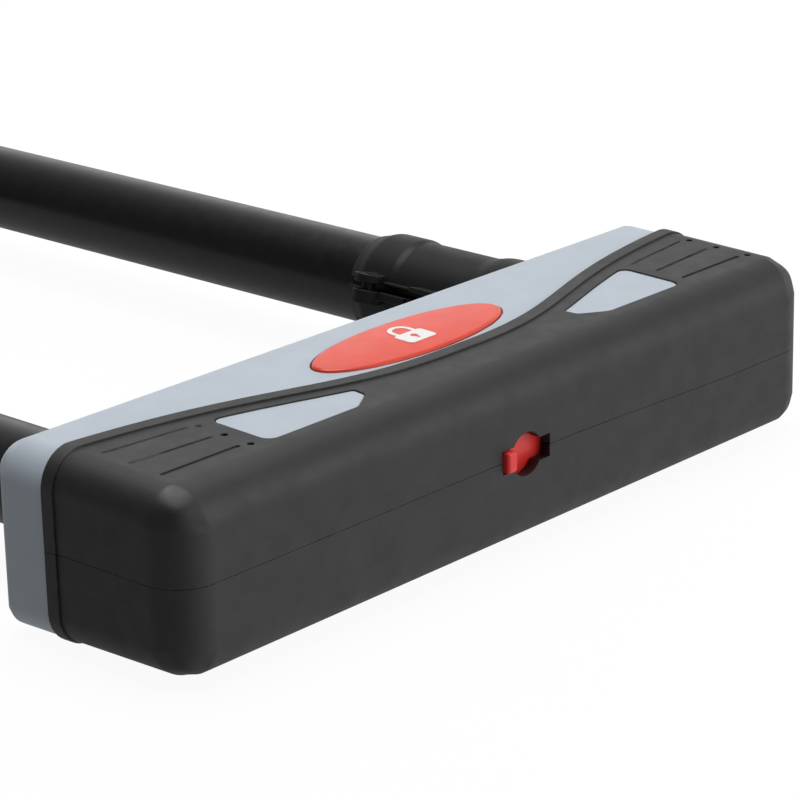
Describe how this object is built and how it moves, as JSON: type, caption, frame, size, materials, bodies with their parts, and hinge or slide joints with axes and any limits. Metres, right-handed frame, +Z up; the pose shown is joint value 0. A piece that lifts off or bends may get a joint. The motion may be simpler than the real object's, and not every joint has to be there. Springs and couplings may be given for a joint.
{
  "type": "u lock",
  "caption": "Bicycle U lock: covered crossbar with keyhole shutter and bolt mechanism, coated U shackle, split clamp collar on one leg.",
  "frame": {"origin": "centre of the bottom of the whole lock's box, lying flat and closed", "axes": "+X along the crossbar to the right seen from the keyhole, +Y from the crossbar towards the bow, +Z up through the badge"},
  "size_m": [0.1754, 0.2948, 0.036],
  "materials": {
    "black_cover": "fine moulded grain, matte",
    "grey_plastic": "satin moulded",
    "badge_red": "semi-gloss",
    "shutter_red": "gloss",
    "leg_coating": "smooth satin vinyl coating",
    "bracket_plastic": "satin moulded",
    "bush_plastic": "moulded",
    "shackle_steel": "ground hardened steel",
    "housing_steel": "hardened steel",
    "steel": "zinc plated",
    "brass": "turned"
  },
  "bodies": {
    "crossbar": {"crossbar_housing": "housing_steel", "left_end_plug": "steel", "right_end_plug": "steel", "rear_carrier": "grey_plastic", "upper_cover": "black_cover", "lower_cover": "black_cover", "badge": "badge_red", "cylinder_body": "brass", "cylinder_retaining_pin": "steel", "left_leg_bush": "bush_plastic", "right_leg_bush": "bush_plastic", "left_rear_screw": "steel", "right_rear_screw": "steel", "shutter_guide": "bush_plastic"},
    "shackle": {"shackle_bar": "shackle_steel", "shackle_sleeve": "leg_coating", "clamp_collar": "bracket_plastic", "clamp_screw": "steel", "clamp_nut": "steel"},
    "key_core": {"cylinder_core": "brass", "code_disc_1": "brass", "code_disc_2": "brass", "code_disc_3": "brass", "code_disc_4": "brass", "code_disc_5": "brass", "code_disc_6": "brass", "sidebar": "brass", "drive_cam": "steel"},
    "left_bolt": {"left_bolt": "steel", "left_drive_pin": "steel"},
    "right_bolt": {"right_bolt": "steel", "right_drive_pin": "steel"},
    "shutter": {"shutter": "shutter_red"}
  },
  "joints": [
    {"name": "shackle_slide", "type": "slide", "parent": "crossbar", "child": "shackle", "axis": [0, 1, 0], "range_m": [0, 0.048]},
    {"name": "key_turn", "type": "hinge", "parent": "crossbar", "child": "key_core", "pos_m": [0, -0.14042, 0.0183], "axis": [0, 1, 0], "range_deg": [0, 90]},
    {"name": "left_bolt_slide", "type": "slide", "parent": "crossbar", "child": "left_bolt", "axis": [-1, 0, 0], "range_m": [0, 0.005]},
    {"name": "right_bolt_slide", "type": "slide", "parent": "crossbar", "child": "right_bolt", "axis": [1, 0, 0], "range_m": [0, 0.005]},
    {"name": "shutter_slide", "type": "slide", "parent": "crossbar", "child": "shutter", "axis": [1, 0, 0], "range_m": [0, 0.0102]}
  ],
  "couplings": [
    {"joint": "left_bolt_slide", "follows": "key_turn", "m_per_rad": 0.0028648},
    {"joint": "right_bolt_slide", "follows": "key_turn", "m_per_rad": 0.0028648}
  ]
}
